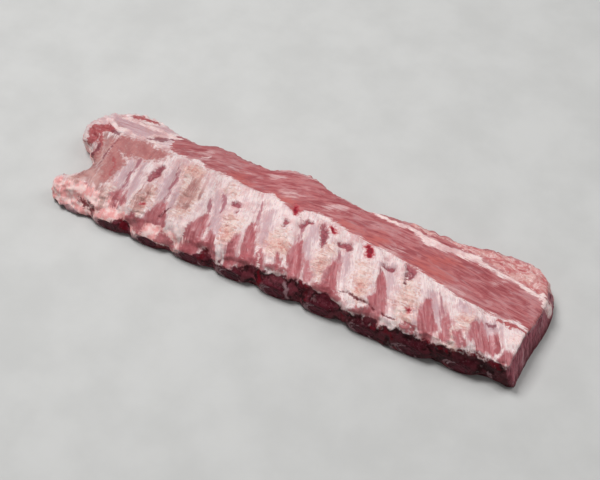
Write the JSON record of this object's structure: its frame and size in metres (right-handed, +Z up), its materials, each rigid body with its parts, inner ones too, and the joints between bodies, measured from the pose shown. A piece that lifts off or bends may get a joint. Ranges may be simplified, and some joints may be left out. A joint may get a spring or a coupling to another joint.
{
  "type": "raw rack of ribs",
  "caption": "Long flat rack of raw pork ribs, bone side up, with sawn rib ends along one edge, a lengthwise muscle along the other, one square end and one notched end.",
  "frame": {"origin": "on the floor, under the middle of the rack's box", "axes": "+X along the rack towards its square-cut end, +Y across it from the sawn bone edge to the long muscle's free edge, +Z up from the outer side it rests on to its bone side"},
  "size_m": [0.3712, 0.1058, 0.0254],
  "materials": {
    "meat": "moist raw meat, pale fat and membrane on the bone side",
    "bone": "sawn bone, pale rim and dark red marrow"
  },
  "bodies": {
    "root": {"meat": "meat", "rib_bone_01": "bone", "rib_bone_02": "bone", "rib_bone_03": "bone", "rib_bone_04": "bone", "rib_bone_05": "bone", "rib_bone_06": "bone", "rib_bone_07": "bone", "rib_bone_08": "bone", "rib_bone_09": "bone"}
  },
  "joints": []
}
